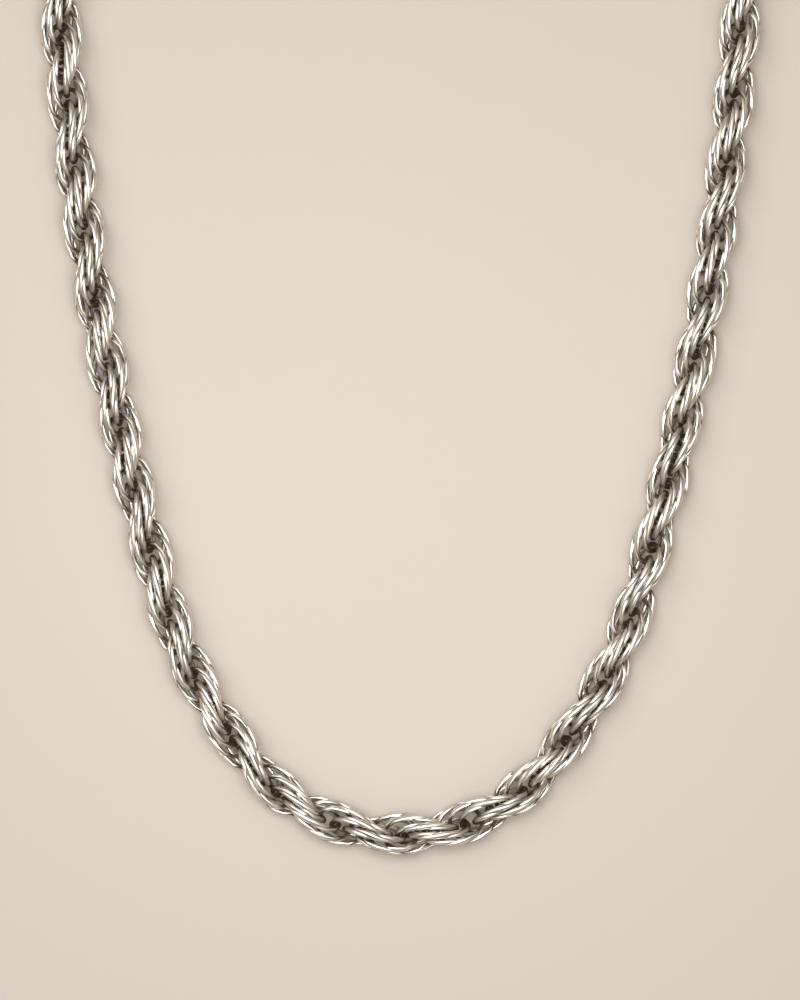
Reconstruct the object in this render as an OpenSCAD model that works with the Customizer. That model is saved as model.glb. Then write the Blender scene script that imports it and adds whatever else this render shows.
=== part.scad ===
// Twisted rope chain necklace, laid flat in a loop and closed by a plain lobster clasp.
// Millimetres. The loop lies on z = 0 with its front at -Y and its clasp at +Y.

/* [Links] */
// Thickness of the wire that a link is bent from
wire_d = 0.65; // [0.5:0.05:0.65]
// Full width of a link, which is also the width of the twisted chain
link_w = 6.1; // [5.8:0.1:6.4]
// Length of a link over its two round ends
link_l = 9.46; // [9.4:0.02:9.5]

/* [Twist] */
// Distance along the chain from one link to the next
link_pitch = 1.92; // [1.9:0.005:1.93]
// Number of links on the chain
link_count = 223; // [222:1:224]
// Half turns that the whole chain makes from end to end
half_turns = 44; // [44:1:45]

/* [Fastening] */
// Thickness of a jump ring's wire
ring_wire_d = 0.9; // [0.7:0.05:1]
// Outer diameter of a jump ring
ring_d = 5.5; // [5.3:0.1:5.7]
// Width of the clasp's round claw
claw_w = 8; // [7.5:0.5:9]
// Thickness of the clasp
clasp_t = 3; // [2.8:0.1:3.2]
// Width of the clasp's tail eye
tail_w = 4.4; // [4.2:0.1:5]
// Width of metal at either end of the clasp
clasp_rim = 1.35; // [1.2:0.05:1.4]

/* [Hidden] */
$fn = 48;

// Bends of the loop's right half from the front to the shoulder, as [length, turn in degrees].
// The last row is the straight run before the round back.
BEND_L = 0;
BEND_TURN = 1;
bends = [[23.5, 49], [29, 25], [86, 12], [5, 0]];

// Place and heading after a bend of length l and turn t, from at = [x, y, heading]
function onward(at, l, t) =
    t == 0
        ? [at.x + l * cos(at.z), at.y + l * sin(at.z), at.z]
        : let (r = l * 180 / PI / t)
            [at.x + r * (sin(at.z + t) - sin(at.z)), at.y + r * (cos(at.z) - cos(at.z + t)), at.z + t];
function after_bends(i, at) =
    i == len(bends) ? at : after_bends(i + 1, onward(at, bends[i][BEND_L], bends[i][BEND_TURN]));
shoulder = after_bends(0, [0, 0, 0]);
back_r = shoulder.x / sin(shoulder.z);
back_turn = 180 - shoulder.z;
route = concat(bends, [[back_r * back_turn * PI / 180, back_turn]]);
loop_depth = shoulder.y + back_r * (1 + cos(shoulder.z));
function total(rows, i = 0) = i == len(rows) ? 0 : rows[i][BEND_L] + total(rows, i + 1);
half_loop_l = total(route);

// The loop's middle line runs from front_y to back_y, so that its box is centred on the origin
axis_z = link_w / 2;
front_y = -(loop_depth + claw_w / 2 - link_w / 2) / 2;
back_y = front_y + loop_depth;

// Place and heading at distance s from the front, the right half first
function along(s, i = 0, at = [0, front_y, 0]) =
    i == len(route) - 1 || s <= route[i][BEND_L]
        ? onward(at, s, route[i][BEND_TURN] * s / route[i][BEND_L])
        : along(s - route[i][BEND_L], i + 1, onward(at, route[i][BEND_L], route[i][BEND_TURN]));
function place(s) = s >= 0 ? along(s) : let (p = along(-s)) [-p.x, p.y, -p.z];

end_r = (link_w - wire_d) / 2;
straight_l = link_l - link_w;
link_turn = half_turns * 180 / (link_count - 1);
last_link_s = (link_count - 1) * link_pitch / 2;

// Play between a jump ring and the clasp's eye
play = 0.15;
// Play between a jump ring and the end link, which leans across it
link_play = 0.41;
ring_r = (ring_d - ring_wire_d) / 2;
link_tip = (link_l - wire_d) / 2;
ring_reach = ring_r - wire_d / 2 - link_play - ring_wire_d / 2;
// Distance from the middle of the clasp to the middle of a jump ring
ring_u = half_loop_l - last_link_s - link_tip - ring_reach;
clasp_l = 2 * (ring_u + clasp_rim / 2);
claw_hole_w = claw_w - 2 * clasp_rim;
tail_hole_w = tail_w - 2 * clasp_rim;

// One link, long way along X and flat in XY: two round ends joined by straight sides
module link() {
    for (side = [-1, 1]) {
        translate([side * straight_l / 2, 0, 0])
            rotate([0, 0, side * -90])
                rotate_extrude(angle = 180)
                    translate([end_r, 0])
                        circle(d = wire_d);
        translate([-straight_l / 2, side * end_r, 0])
            rotate([0, 90, 0])
                cylinder(d = wire_d, h = straight_l);
    }
}

module chain() {
    color("silver")
        for (i = [0 : link_count - 1])
            let (s = i * link_pitch - last_link_s, p = place(s))
                translate([p.x, p.y, axis_z])
                    rotate([0, 0, p.z])
                        rotate([i * link_turn, 0, 0])
                            link();
}

// A ring on edge in the XZ plane
module ring(wire) {
    rotate([90, 0, 0])
        rotate_extrude()
            translate([ring_r, 0])
                circle(d = wire);
}

module ring_in_place(side, wire) {
    translate([side * ring_u, back_y, ring_d / 2])
        ring(wire);
}

module jump_ring_left() {
    color("silver") ring_in_place(-1, ring_wire_d);
}

module jump_ring_right() {
    color("silver") ring_in_place(1, ring_wire_d);
}

module clasp() {
    claw_x = (clasp_l - claw_w) / 2;
    tail_x = -(clasp_l - tail_w) / 2;
    color("silver")
        difference() {
            union() {
                translate([claw_x, back_y, 0])
                    cylinder(d = claw_w, h = clasp_t);
                translate([tail_x, back_y, 0])
                    cylinder(d = tail_w, h = clasp_t);
                translate([0, back_y, 0])
                    linear_extrude(clasp_t)
                        polygon([
                            [tail_x, -tail_w / 2], [claw_x, -claw_w / 2],
                            [claw_x, claw_w / 2], [tail_x, tail_w / 2]
                        ]);
            }
            translate([claw_x, back_y, -1])
                cylinder(d = claw_hole_w, h = clasp_t + 2);
            translate([tail_x, back_y, -1])
                cylinder(d = tail_hole_w, h = clasp_t + 2);
            for (side = [-1, 1])
                ring_in_place(side, ring_wire_d + 2 * play);
        }
}

chain();
jump_ring_left();
jump_ring_right();
clasp();
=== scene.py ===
import math
import random

import bmesh
import bpy
from bpy.props import FloatProperty, FloatVectorProperty, IntProperty, PointerProperty
from bpy.types import Operator, Panel, PropertyGroup
from mathutils import Matrix, Vector


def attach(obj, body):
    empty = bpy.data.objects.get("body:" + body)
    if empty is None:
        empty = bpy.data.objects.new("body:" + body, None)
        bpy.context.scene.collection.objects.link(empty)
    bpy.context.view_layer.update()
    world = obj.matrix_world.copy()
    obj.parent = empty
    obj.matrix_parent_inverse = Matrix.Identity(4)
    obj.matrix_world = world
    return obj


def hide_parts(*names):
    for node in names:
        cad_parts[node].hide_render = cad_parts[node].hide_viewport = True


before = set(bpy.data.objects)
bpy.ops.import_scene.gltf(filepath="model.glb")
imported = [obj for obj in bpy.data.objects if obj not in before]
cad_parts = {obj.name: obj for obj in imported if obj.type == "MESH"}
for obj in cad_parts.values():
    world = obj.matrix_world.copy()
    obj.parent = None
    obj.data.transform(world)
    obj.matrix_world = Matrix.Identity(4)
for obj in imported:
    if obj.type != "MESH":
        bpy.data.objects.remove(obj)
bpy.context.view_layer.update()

bl_info = {
    "name": "Twisted Chain Necklace",
    "version": (1, 0, 0),
    "blender": (4, 5, 0),
    "location": "View3D > Sidebar > Necklace",
    "description": "Links, jump rings, clasp and stage of a silver twisted chain necklace",
    "category": "Object",
}

MM = 0.001

# The loop's middle line as the solids have it. Each row of the right half has a length in mm and a turn in
# degrees, and the last row is the straight run before the round back.
BENDS = ((23.5, 49.0), (29.0, 25.0), (86.0, 12.0), (5.0, 0.0))
# Width of the clasp's claw in mm, which moves the loop's middle towards the front
CLAW_W = 8.0

# How far the links of a fully slack chain are out of line, along the chain in m and turned in radians. The
# drift is a slow roll that neighbours share. Among 40 seeds, this one keeps the links clearest of each other.
SEED = 22
DRIFT_KEPT = 0.94
DRIFT_SPREAD = 0.2
SHIFT_SPREAD = 0.22 * MM
ROLL_SPREAD = 0.1
PITCH_SPREAD = 0.07
YAW_SPREAD = 0.04

# Sizes of the noise patterns on the silver, in repeats to the metre
CLOUD_SCALE = 420.0
GRAIN_SCALE = 2600.0
# Range of recess over which the metal passes from bright to dark with tarnish and painted shade
BRIGHT_BELOW = 0.55
TARNISHED_AND_SHADED_ABOVE = 1.05
# Recess added at the wire's narrow edges, which paints a little shade there
EDGE_SHADE = 0.2
# Sockets of the node group for the silver
WORN_SOCKETS = (
    ("Bright", "NodeSocketColor", "INPUT"),
    ("Tarnish and shade", "NodeSocketColor", "INPUT"),
    ("Recess", "NodeSocketFloat", "INPUT"),
    ("Ridge", "NodeSocketFloat", "INPUT"),
    ("Groove", "NodeSocketFloat", "INPUT"),
    ("Grain", "NodeSocketFloat", "INPUT"),
    ("Colour", "NodeSocketColor", "OUTPUT"),
    ("Roughness", "NodeSocketFloat", "OUTPUT"),
    ("Height", "NodeSocketFloat", "OUTPUT"),
)

# Each softbox has a name, a place, a target, a side in m, a share of the power and a colour. The key hangs
# low inside the loop, so that both strands throw a soft shadow outwards.
SOFTBOXES = (
    ("key", (0, -0.045, 0.2), (0, -0.045, 0), 0.1, 0.3, (0.98, 0.99, 1.0)),
    ("top", (0, -0.02, 0.9), (0, -0.04, 0), 0.55, 4.5, (1.0, 0.995, 0.99)),
    ("side", (-0.35, 0.2, 0.65), (0, -0.04, 0), 0.5, 3.5, (1.0, 0.99, 0.97)),
)
# Height in the sky, 0 at the horizon and 1 straight up, and the colour there
SKY = (
    (0.0, (0.02, 0.016, 0.012, 1)),
    (0.3, (0.17, 0.145, 0.11, 1)),
    (0.75, (1.0, 0.935, 0.83, 1)),
)
# The camera looks straight down, and its picture is this high at the height of the chain's middle line
VIEW_H = 0.145
VIEW_CENTRE = (-0.07 * MM, -40.83 * MM, 3.05 * MM)


# Sizes and colours


class ChainSizes(PropertyGroup):
    """Sizes of the chain and of the link that it repeats"""

    link_count: IntProperty(name="Links", description="Number of links on the chain", default=223, min=2)
    link_pitch: FloatProperty(
        name="Pitch",
        description="Distance along the chain from one link to the next",
        default=1.92 * MM,
        unit="LENGTH",
        precision=5,
    )
    half_turns: IntProperty(
        name="Half turns", description="Half turns that the whole chain makes from end to end", default=44
    )
    link_l: FloatProperty(
        name="Link length",
        description="Length of a link over its two round ends",
        default=9.46 * MM,
        unit="LENGTH",
        precision=5,
    )
    link_w: FloatProperty(
        name="Link width",
        description="Full width of a link, which is also the width of the chain",
        default=6.1 * MM,
        unit="LENGTH",
        precision=5,
    )
    wire_t: FloatProperty(
        name="Wire thickness",
        description="Thickness of the flattened wire, in the link's own plane",
        default=0.62 * MM,
        unit="LENGTH",
        precision=5,
    )
    side_w: FloatProperty(
        name="Side width",
        description="Width of the flattened wire at the middle of a link's side",
        default=1.12 * MM,
        unit="LENGTH",
        precision=5,
    )
    end_w: FloatProperty(
        name="End width",
        description="Width of the flattened wire at the tips of a link",
        default=0.95 * MM,
        unit="LENGTH",
        precision=5,
    )
    ridge_l: FloatProperty(
        name="Ridge length",
        description="Length of wire over which a ridge moves sideways by its own width",
        default=4.0 * MM,
        unit="LENGTH",
        precision=5,
    )
    slack: FloatProperty(
        name="Slack",
        description="How far links are out of line with each other, from 0 to 1",
        default=0.35,
        min=0.0,
        max=1.0,
    )
    link_twist: FloatProperty(
        name="Link twist",
        description="Angle by which either end of a link is turned about its long way",
        default=math.radians(13.0),
        subtype="ANGLE",
    )


class SilverLook(PropertyGroup):
    """Colours of the metal"""

    bright: FloatVectorProperty(
        name="Polished silver",
        description="Colour of the metal where it is rubbed bright",
        default=(0.97, 0.925, 0.865, 1.0),
        size=4,
        subtype="COLOR",
        min=0.0,
        max=1.0,
    )
    # The dark colour is tarnish, and on the chain also painted shade down between the links
    shade: FloatVectorProperty(
        name="Tarnish and shade",
        description="Colour of the metal down between the links",
        default=(0.13, 0.096, 0.06, 1.0),
        size=4,
        subtype="COLOR",
        min=0.0,
        max=1.0,
    )


class StageLook(PropertyGroup):
    """Colour of the floor and strength of the light"""

    floor_colour: FloatVectorProperty(
        name="Floor",
        description="Colour of the pale floor",
        default=(0.63, 0.567, 0.505, 1.0),
        size=4,
        subtype="COLOR",
        min=0.0,
        max=1.0,
    )
    sky: FloatProperty(name="Sky", description="Strength of the light from all round", default=0.6, min=0.0)
    softbox: FloatProperty(
        name="Softbox", description="Power of the softboxes", default=0.45, min=0.0, unit="POWER"
    )


# The loop's path, in millimetres


def onward(at, length, turn):
    """Place and heading after a bend."""
    x, y, heading = at
    h = math.radians(heading)
    if turn == 0:
        return (x + length * math.cos(h), y + length * math.sin(h), heading)
    r = length / math.radians(turn)
    e = math.radians(heading + turn)
    return (x + r * (math.sin(e) - math.sin(h)), y + r * (math.cos(h) - math.cos(e)), heading + turn)


def loop_route(link_w):
    """Rows of the right half with the round back, and the Y of the loop's front and back."""
    at = (0.0, 0.0, 0.0)
    for row in BENDS:
        at = onward(at, *row)
    x, y, heading = at
    back_r = x / math.sin(math.radians(heading))
    back_turn = 180.0 - heading
    route = BENDS + ((back_r * math.radians(back_turn), back_turn),)
    depth = y + back_r * (1 + math.cos(math.radians(heading)))
    front_y = -(depth + CLAW_W / 2 - link_w / 2) / 2
    return route, front_y, front_y + depth


def place(route, front_y, s):
    """Place and heading at distance s from the front, to the right where s is positive."""
    at = (0.0, front_y, 0.0)
    left = abs(s)
    for i, (length, turn) in enumerate(route):
        if left <= length or i == len(route) - 1:
            at = onward(at, left, turn * left / length)
            break
        at = onward(at, length, turn)
        left -= length
    return at if s >= 0 else (-at[0], at[1], -at[2])


# Metal


def math_node(tree, operation, *values):
    """Output of a new math node. Its inputs are numbers, or outputs of other nodes."""
    node = tree.nodes.new("ShaderNodeMath")
    node.operation = operation
    for socket, value in zip(node.inputs, values):
        if isinstance(value, bpy.types.NodeSocket):
            tree.links.new(value, socket)
        else:
            socket.default_value = value
    return node.outputs[0]


def noise(tree, coords, scale, detail):
    """Output of a new noise node on the object's coordinates."""
    node = tree.nodes.new("ShaderNodeTexNoise")
    node.inputs["Scale"].default_value = scale
    node.inputs["Detail"].default_value = detail
    tree.links.new(coords.outputs["Object"], node.inputs["Vector"])
    return node.outputs["Fac"]


def map_range(tree, value, from_min, from_max, to_min=0.0, to_max=1.0, smooth=False):
    """Output of a new node that maps one range to another."""
    node = tree.nodes.new("ShaderNodeMapRange")
    if smooth:
        node.interpolation_type = "SMOOTHSTEP"
    node.inputs["From Min"].default_value = from_min
    node.inputs["From Max"].default_value = from_max
    node.inputs["To Min"].default_value = to_min
    node.inputs["To Max"].default_value = to_max
    tree.links.new(value, node.inputs["Value"])
    return node.outputs["Result"]


def worn_shaded_silver():
    """Node group: colour, roughness and height of silver, bright where it is rubbed and dark in its gaps with
    tarnish and painted shade.
    """
    name = "Worn and shaded silver"
    if name in bpy.data.node_groups:
        return bpy.data.node_groups[name]
    group = bpy.data.node_groups.new(name, "ShaderNodeTree")
    for socket, kind, way in WORN_SOCKETS:
        group.interface.new_socket(name=socket, in_out=way, socket_type=kind)
    n, link = group.nodes, group.links.new
    gin, gout = n.new("NodeGroupInput"), n.new("NodeGroupOutput")
    coords = n.new("ShaderNodeTexCoord")
    cloud = noise(group, coords, CLOUD_SCALE, 3.0)
    grain = noise(group, coords, GRAIN_SCALE, 2.0)

    # Ridge counts the round ridges of the wire, with a sharp groove at each whole number
    turn = math_node(group, "MULTIPLY", gin.outputs["Ridge"], math.pi)
    ridges = math_node(group, "ABSOLUTE", math_node(group, "SINE", turn))
    # Heights are in millimetres
    raised = math_node(group, "MULTIPLY", ridges, gin.outputs["Groove"])
    height = math_node(group, "MULTIPLY_ADD", grain, gin.outputs["Grain"], raised)
    link(height, gout.inputs["Height"])

    # Painted shade and tarnish fill the recesses, painted shade draws a thin line along each groove, and the
    # cloud breaks up the edge
    crease = math_node(group, "POWER", math_node(group, "SUBTRACT", 1.0, ridges), 3.0)
    deep = math_node(group, "MULTIPLY", crease, gin.outputs["Groove"])
    spread = math_node(group, "MULTIPLY_ADD", cloud, 0.5, gin.outputs["Recess"])
    shade_and_tarnish = math_node(group, "MULTIPLY_ADD", deep, 2.5, spread)
    # The mask mixes the bright metal towards the dark colour of tarnish and painted shade
    mask = map_range(group, shade_and_tarnish, BRIGHT_BELOW, TARNISHED_AND_SHADED_ABOVE, smooth=True)

    colour = n.new("ShaderNodeMix")
    colour.data_type = "RGBA"
    link(mask, colour.inputs["Factor"])
    link(gin.outputs["Bright"], colour.inputs["A"])
    link(gin.outputs["Tarnish and shade"], colour.inputs["B"])
    link(colour.outputs["Result"], gout.inputs["Colour"])

    rubbed = map_range(group, cloud, 0.3, 0.75, 0.28, 0.46)
    link(math_node(group, "MULTIPLY_ADD", mask, 0.3, rubbed), gout.inputs["Roughness"])
    return group


def metal(name, look, grain, wear=0.0, groove=0.0):
    """A silver material with grain and groove depths in mm, and an even wear from 0 to 1.
    A grooved piece is darkened unevenly by tarnish and painted shade: its mesh has the attributes recess,
    which is 1 deep in its gaps, and ridge, which counts the ridges of its wire."""
    material = bpy.data.materials.new(name)
    material.use_nodes = True
    n, link = material.node_tree.nodes, material.node_tree.links.new
    shader = n["Principled BSDF"]
    shader.inputs["Metallic"].default_value = 1.0
    worn = n.new("ShaderNodeGroup")
    worn.node_tree = worn_shaded_silver()
    worn.inputs["Bright"].default_value = look.bright
    worn.inputs["Tarnish and shade"].default_value = look.shade
    worn.inputs["Grain"].default_value = grain
    worn.inputs["Groove"].default_value = groove
    worn.inputs["Recess"].default_value = wear
    if groove:
        for attribute, socket in (("recess", "Recess"), ("ridge", "Ridge")):
            value = n.new("ShaderNodeAttribute")
            value.attribute_name = attribute
            link(value.outputs["Fac"], worn.inputs[socket])
    dents = n.new("ShaderNodeBump")
    dents.inputs["Strength"].default_value = 1.0
    dents.inputs["Distance"].default_value = MM
    link(worn.outputs["Height"], dents.inputs["Height"])
    link(worn.outputs["Colour"], shader.inputs["Base Color"])
    link(worn.outputs["Roughness"], shader.inputs["Roughness"])
    link(dents.outputs["Normal"], shader.inputs["Normal"])
    return material


# Pieces


def new_piece(name, bm, material, slot, *nodes):
    """Makes an object of a finished bmesh, which replaces CAD nodes and rides with the necklace."""
    bmesh.ops.recalc_face_normals(bm, faces=bm.faces)
    mesh = bpy.data.meshes.new(name)
    bm.to_mesh(mesh)
    bm.free()
    for face in mesh.polygons:
        face.use_smooth = True
    mesh.materials.append(material)
    piece = bpy.data.objects.new(name, mesh)
    bpy.context.scene.collection.objects.link(piece)
    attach(piece, "root")
    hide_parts(*nodes)


def wire_link(sizes, side_steps=2, end_steps=4):
    """One link as a mesh: an oval of flattened wire, long along X and wide along Y, twisted about X.
    It is repeated over 200 times, so it is light: its wire has six sides."""
    half_l = (sizes.link_l - sizes.wire_t) / 2
    half_w = (sizes.link_w - sizes.wire_t) / 2
    # A round end of radius end_r passes into the flatter side at joint_a from the link's wide way
    joint_a = math.radians(18.0)
    rise = math.sin(joint_a)
    fall = (1 - math.cos(joint_a)) / rise
    end_r = (half_w - half_l * fall) / (math.cos(joint_a) + (rise - 1) * fall)
    end_x = half_l - end_r
    side_r = (end_x + end_r * rise) / rise

    bm = bmesh.new()
    recess = bm.verts.layers.float.new("recess")
    ridge = bm.verts.layers.float.new("ridge")
    # The section is a hexagon with corners up and down, and flats on the link's outside and inside
    corner_r = sizes.wire_t / 2 / math.cos(math.pi / 6)
    upright = Matrix.Rotation(math.pi / 2, 4, "Y") @ Matrix.Rotation(math.pi / 2, 4, "Z")
    seat = Matrix.Translation((0, half_w, 0)) @ upright
    bmesh.ops.create_circle(bm, radius=corner_r, segments=6, matrix=seat)
    ring = bm.verts[:] + bm.edges[:]
    side_centre = (0, half_w - side_r, 0)
    runs = (
        (side_centre, joint_a, side_steps),
        ((end_x, 0, 0), math.pi - 2 * joint_a, end_steps),
        ((0, side_r - half_w, 0), 2 * joint_a, 2 * side_steps),
        ((-end_x, 0, 0), math.pi - 2 * joint_a, end_steps),
        (side_centre, joint_a, side_steps),
    )
    for centre, turn, steps in runs:
        spun = bmesh.ops.spin(bm, geom=ring, cent=centre, axis=(0, 0, -1), angle=turn, steps=steps)
        ring = spun["geom_last"]
    bmesh.ops.remove_doubles(bm, verts=bm.verts, dist=0.01 * MM)

    for v in bm.verts:
        across = v.co.z / corner_r
        along = min(1.0, abs(v.co.x) / half_l)
        # Painted shade at the wire's narrow edges
        v[recess] = EDGE_SHADE * across**4
        # A ridge is as wide as the wire and runs slowly over it from one edge to the other
        v[ridge] = (across + 1) / 2 + v.co.x / sizes.ridge_l
        v.co.z = across * (sizes.end_w + (sizes.side_w - sizes.end_w) * (1.0 - along**2)) / 2
        v.co = Matrix.Rotation(sizes.link_twist * v.co.x / half_l, 3, "X") @ v.co
    return bm


class NECKLACE_OT_chain(Operator):
    """Lay the interlocked links round the loop"""

    bl_idname = "necklace.chain"
    bl_label = "Twisted Chain"

    def execute(self, context):
        sizes = context.scene.necklace_chain
        route, front_y, _ = loop_route(sizes.link_w / MM)
        link_mesh = bpy.data.meshes.new("one_link")
        bm = wire_link(sizes)
        bm.to_mesh(link_mesh)
        bm.free()

        hand = random.Random(SEED)
        turn = sizes.half_turns * math.pi / (sizes.link_count - 1)
        last_s = (sizes.link_count - 1) * sizes.link_pitch / 2
        axis_z = sizes.link_w / 2
        chain = bmesh.new()
        drift = 0.0
        for i in range(sizes.link_count):
            drift = DRIFT_KEPT * drift + sizes.slack * hand.gauss(0, DRIFT_SPREAD)
            shift = sizes.slack * hand.gauss(0, SHIFT_SPREAD)
            x, y, heading = place(route, front_y, (i * sizes.link_pitch - last_s + shift) / MM)
            seat = (
                Matrix.Translation((x * MM, y * MM, axis_z))
                @ Matrix.Rotation(math.radians(heading), 4, "Z")
                @ Matrix.Rotation(i * turn + drift + sizes.slack * hand.gauss(0, ROLL_SPREAD), 4, "X")
                @ Matrix.Rotation(sizes.slack * hand.gauss(0, PITCH_SPREAD), 4, "Y")
                @ Matrix.Rotation(sizes.slack * hand.gauss(0, YAW_SPREAD), 4, "Z")
            )
            before = len(chain.verts)
            chain.from_mesh(link_mesh)
            chain.verts.ensure_lookup_table()
            depth = chain.verts.layers.float["recess"]
            own = chain.verts[before:]
            # Wire nearer the link's long middle line is deeper in the chain, and gets more tarnish and
            # painted shade
            for v in own:
                r = math.hypot(v.co.y, v.co.z)
                v[depth] = min(1.0, v[depth] + max(0.0, 1.0 - r / (sizes.link_w / 2)))
            bmesh.ops.transform(chain, matrix=seat, verts=own)
        bpy.data.meshes.remove(link_mesh)
        material = metal("Chain silver", context.scene.necklace_silver, grain=0.008, groove=0.2)
        new_piece("twisted_chain", chain, material, "link_metal", "chain")
        return {"FINISHED"}


class NECKLACE_OT_fastening(Operator):
    """Finish the jump rings and the clasp"""

    bl_idname = "necklace.fastening"
    bl_label = "Rings and Clasp"

    def execute(self, context):
        look = context.scene.necklace_silver
        ring_silver = metal("Ring silver", look, grain=0.006, wear=0.37)
        clasp_silver = metal("Clasp silver", look, grain=0.02, wear=0.53)
        for node, silver in (
            ("jump_ring_left", ring_silver),
            ("jump_ring_right", ring_silver),
            ("clasp", clasp_silver),
        ):
            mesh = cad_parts[node].data
            mesh.materials.clear()
            mesh.materials.append(silver)
        return {"FINISHED"}


class NECKLACE_OT_stage(Operator):
    """Set the floor, the light and the camera"""

    bl_idname = "necklace.stage"
    bl_label = "Stage"

    def execute(self, context):
        scene = context.scene
        stage = scene.necklace_stage

        # The floor is wide enough that a low view doesn't see past it
        bm = bmesh.new()
        bmesh.ops.create_grid(bm, x_segments=1, y_segments=1, size=6.0)
        mesh = bpy.data.meshes.new("floor")
        bm.to_mesh(mesh)
        bm.free()
        floor = bpy.data.objects.new("floor", mesh)
        scene.collection.objects.link(floor)
        floor.location.z = -0.02 * MM
        cream = bpy.data.materials.new("Cream floor")
        cream.use_nodes = True
        shader = cream.node_tree.nodes["Principled BSDF"]
        shader.inputs["Roughness"].default_value = 0.55
        shader.inputs["Base Color"].default_value = stage.floor_colour
        mesh.materials.append(cream)

        world = bpy.data.worlds.new("Soft studio")
        scene.world = world
        world.use_nodes = True
        n, link = world.node_tree.nodes, world.node_tree.links.new
        coords = n.new("ShaderNodeTexCoord")
        split = n.new("ShaderNodeSeparateXYZ")
        link(coords.outputs["Generated"], split.inputs[0])
        ramp = n.new("ShaderNodeValToRGB")
        stops = ramp.color_ramp.elements
        while len(stops) < len(SKY):
            stops.new(0.5)
        for stop, (position, colour) in zip(stops, SKY):
            stop.position = position
            stop.color = colour
        link(split.outputs["Z"], ramp.inputs["Fac"])
        background = n["Background"]
        link(ramp.outputs["Color"], background.inputs["Color"])
        background.inputs["Strength"].default_value = stage.sky

        for name, spot, target, side, share, colour in SOFTBOXES:
            light = bpy.data.lights.new(name, "AREA")
            light.shape = "RECTANGLE"
            light.size = side
            light.size_y = side
            light.energy = share * stage.softbox
            light.color = colour
            lamp = bpy.data.objects.new(name, light)
            scene.collection.objects.link(lamp)
            lamp.location = spot
            lamp.rotation_euler = (Vector(target) - Vector(spot)).to_track_quat("-Z", "Y").to_euler()
            lamp.visible_camera = False

        camera = bpy.data.cameras.new("camera")
        camera.sensor_fit = "VERTICAL"
        camera.sensor_height = 24.0
        camera.lens = 85.0
        camera.clip_start = 0.01
        camera.clip_end = 10.0
        distance = VIEW_H / 2 / (camera.sensor_height / 2 / camera.lens)
        eye = bpy.data.objects.new("camera", camera)
        scene.collection.objects.link(eye)
        eye.location = Vector(VIEW_CENTRE) + Vector((0, 0, distance))
        scene.camera = eye
        scene.view_settings.view_transform = "Standard"
        return {"FINISHED"}


class NECKLACE_PT_panel(Panel):
    """The necklace's sizes, colours and pieces"""

    bl_idname = "NECKLACE_PT_panel"
    bl_label = "Twisted Chain Necklace"
    bl_space_type = "VIEW_3D"
    bl_region_type = "UI"
    bl_category = "Necklace"

    def draw(self, context):
        layout = self.layout
        scene = context.scene
        for group in (scene.necklace_chain, scene.necklace_silver, scene.necklace_stage):
            box = layout.box()
            for name in group.__annotations__:
                box.prop(group, name)
        for operator in OPERATORS:
            layout.operator(operator.bl_idname)


GROUPS = (ChainSizes, SilverLook, StageLook)
OPERATORS = (NECKLACE_OT_chain, NECKLACE_OT_fastening, NECKLACE_OT_stage)


def register():
    for cls in GROUPS + OPERATORS + (NECKLACE_PT_panel,):
        bpy.utils.register_class(cls)
    bpy.types.Scene.necklace_chain = PointerProperty(type=ChainSizes)
    bpy.types.Scene.necklace_silver = PointerProperty(type=SilverLook)
    bpy.types.Scene.necklace_stage = PointerProperty(type=StageLook)


def unregister():
    del bpy.types.Scene.necklace_chain
    del bpy.types.Scene.necklace_silver
    del bpy.types.Scene.necklace_stage
    for cls in reversed(GROUPS + OPERATORS + (NECKLACE_PT_panel,)):
        bpy.utils.unregister_class(cls)


def main():
    register()
    bpy.ops.necklace.chain()
    bpy.ops.necklace.fastening()
    bpy.ops.necklace.stage()


if __name__ == "__main__":
    main()
